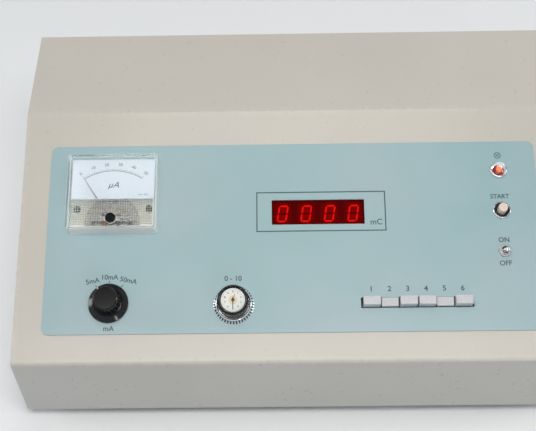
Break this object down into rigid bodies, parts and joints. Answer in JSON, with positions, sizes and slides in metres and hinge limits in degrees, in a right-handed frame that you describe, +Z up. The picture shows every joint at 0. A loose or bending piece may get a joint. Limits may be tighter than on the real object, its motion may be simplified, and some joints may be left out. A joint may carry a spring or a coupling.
{
  "type": "coulometer",
  "caption": "Bench coulometer: sloped console with pointer meter, red digital display, range and turns dials, piano keys and switches, for measuring charge passed in electrolysis.",
  "frame": {"origin": "on the table, under the middle of the case's width and depth", "axes": "+X to the user's right, +Y to the rear, +Z up"},
  "size_m": [0.3936, 0.26, 0.1358],
  "materials": {
    "case_paint": "semi-gloss warm grey-beige enamel",
    "plate_print": "satin grey-blue panel print",
    "foot_rubber": "matt black",
    "screw_steel": "plated",
    "clear_plastic": "clear polished",
    "black_moulding": "satin black moulding",
    "dial_card": "matt white card",
    "magnet_steel": "bare",
    "coil_copper": "enamelled copper wire",
    "hand_black": "matt black",
    "gloss_black": "polished black",
    "red_filter": "dark red acrylic",
    "digit_block": "dark red epoxy face",
    "board_green": "solder-masked board",
    "spacer_metal": "turned",
    "switch_board": "phenolic paper and ceramic",
    "bright_chrome": "polished plate",
    "face_white": "matt white",
    "pot_blue": "satin blue moulding",
    "key_grey": "light grey moulding",
    "natural_plastic": "natural moulding",
    "button_cream": "cream moulding",
    "toggle_body": "red moulding with a plated bushing",
    "led_orange": "lit orange-red epoxy",
    "core_steel": "varnished laminations",
    "socket_plastic": "insulated moulding"
  },
  "bodies": {
    "case": {"top_cover": "case_paint", "base_pan": "case_paint", "rear_panel": "case_paint", "rubber_feet": "foot_rubber", "chassis_screws": "screw_steel", "machine_screws": "screw_steel", "control_plate": "plate_print", "meter_cover": "clear_plastic", "meter_housing": "black_moulding", "meter_dial": "dial_card", "meter_movement": "magnet_steel", "display_filter": "red_filter", "display_digits": "digit_block", "display_board": "board_green", "board_spacers": "spacer_metal", "range_switch": "switch_board", "panel_nuts": "screw_steel", "turns_ring": "bright_chrome", "turns_face": "face_white", "turns_pot": "pot_blue", "key_frame": "screw_steel", "key_switches": "natural_plastic", "push_bezel": "bright_chrome", "push_switch": "black_moulding", "toggle_switch": "toggle_body", "indicator_bezel": "bright_chrome", "indicator_led": "led_orange", "main_board": "board_green", "transformer": "core_steel", "mains_inlet": "black_moulding", "mains_switch": "black_moulding", "fuse_holder": "black_moulding", "electrode_sockets": "socket_plastic"},
    "range_control": {"range_knob": "gloss_black", "range_spindle": "screw_steel"},
    "turns_control": {"turns_knob": "gloss_black", "turns_spindle": "screw_steel", "turns_lens": "clear_plastic", "fraction_hand": "hand_black"},
    "turns_counter": {"turns_hand": "hand_black"},
    "needle": {"meter_needle": "hand_black", "meter_coil": "coil_copper"},
    "zero_adjuster": {"meter_zero_screw": "gloss_black"},
    "key_1": {"key_cap_1": "key_grey", "key_plunger_1": "natural_plastic"},
    "key_2": {"key_cap_2": "key_grey", "key_plunger_2": "natural_plastic"},
    "key_3": {"key_cap_3": "key_grey", "key_plunger_3": "natural_plastic"},
    "key_4": {"key_cap_4": "key_grey", "key_plunger_4": "natural_plastic"},
    "key_5": {"key_cap_5": "key_grey", "key_plunger_5": "natural_plastic"},
    "key_6": {"key_cap_6": "key_grey", "key_plunger_6": "natural_plastic"},
    "key_latch": {"latch_bar": "screw_steel"},
    "electrolysis_button": {"push_button": "button_cream"},
    "work_lever": {"toggle_lever": "bright_chrome"},
    "power_rocker": {"mains_rocker": "black_moulding"},
    "fuse_carrier": {"fuse_cap": "black_moulding"}
  },
  "joints": [
    {"name": "range_knob_turn", "type": "hinge", "parent": "case", "child": "range_control", "pos_m": [-0.129, -0.09024, 0.08846], "axis": [0, -0.3194, 0.9476], "range_deg": [-72, 0]},
    {"name": "turns_dial_turn", "type": "hinge", "parent": "case", "child": "turns_control", "pos_m": [-0.0418, -0.09204, 0.08785], "axis": [0, -0.3194, 0.9476], "range_deg": [-3420, 180]},
    {"name": "turns_hand_turn", "type": "hinge", "parent": "case", "child": "turns_counter", "pos_m": [-0.0418, -0.09651, 0.10112], "axis": [0, -0.3194, 0.9476], "range_deg": [-342, 18]},
    {"name": "needle_swing", "type": "hinge", "parent": "case", "child": "needle", "pos_m": [-0.128, -0.03793, 0.11612], "axis": [0, -0.3194, 0.9476], "range_deg": [-67, 0], "stiffness_Nm_per_rad": 0.0001},
    {"name": "zero_screw_turn", "type": "hinge", "parent": "case", "child": "zero_adjuster", "pos_m": [-0.128, -0.03937, 0.12038], "axis": [0, -0.3194, 0.9476], "range_deg": [-45, 45]},
    {"name": "key_1_press", "type": "slide", "parent": "case", "child": "key_1", "axis": [0, 0.3194, -0.9476], "range_m": [0, 0.005], "stiffness_N_per_m": 200, "springref_m": -0.003},
    {"name": "key_2_release", "type": "slide", "parent": "case", "child": "key_2", "axis": [0, -0.3194, 0.9476], "range_m": [0, 0.005]},
    {"name": "key_3_press", "type": "slide", "parent": "case", "child": "key_3", "axis": [0, 0.3194, -0.9476], "range_m": [0, 0.005], "stiffness_N_per_m": 200, "springref_m": -0.003},
    {"name": "key_4_press", "type": "slide", "parent": "case", "child": "key_4", "axis": [0, 0.3194, -0.9476], "range_m": [0, 0.005], "stiffness_N_per_m": 200, "springref_m": -0.003},
    {"name": "key_5_release", "type": "slide", "parent": "case", "child": "key_5", "axis": [0, -0.3194, 0.9476], "range_m": [0, 0.005]},
    {"name": "key_6_press", "type": "slide", "parent": "case", "child": "key_6", "axis": [0, 0.3194, -0.9476], "range_m": [0, 0.005], "stiffness_N_per_m": 200, "springref_m": -0.003},
    {"name": "latch_bar_slide", "type": "slide", "parent": "case", "child": "key_latch", "axis": [1, 0, 0], "range_m": [0, 0.0015], "stiffness_N_per_m": 200, "springref_m": -0.002},
    {"name": "electrolysis_button_press", "type": "slide", "parent": "case", "child": "electrolysis_button", "axis": [0, 0.3194, -0.9476], "range_m": [0, 0.003], "stiffness_N_per_m": 300, "springref_m": -0.002},
    {"name": "work_lever_throw", "type": "hinge", "parent": "case", "child": "work_lever", "pos_m": [0.1484, -0.05799, 0.10207], "axis": [1, 0, 0], "range_deg": [-26, 0]},
    {"name": "power_rocker_throw", "type": "hinge", "parent": "case", "child": "power_rocker", "pos_m": [0.162, 0.115, 0.048], "axis": [1, 0, 0], "range_deg": [-16, 0]},
    {"name": "fuse_cap_turn", "type": "hinge", "parent": "case", "child": "fuse_carrier", "pos_m": [0.092, 0.115, 0.048], "axis": [0, 1, 0], "range_deg": [0, 60]}
  ],
  "couplings": [
    {"joint": "turns_hand_turn", "follows": "turns_dial_turn", "ratio": 0.1}
  ]
}
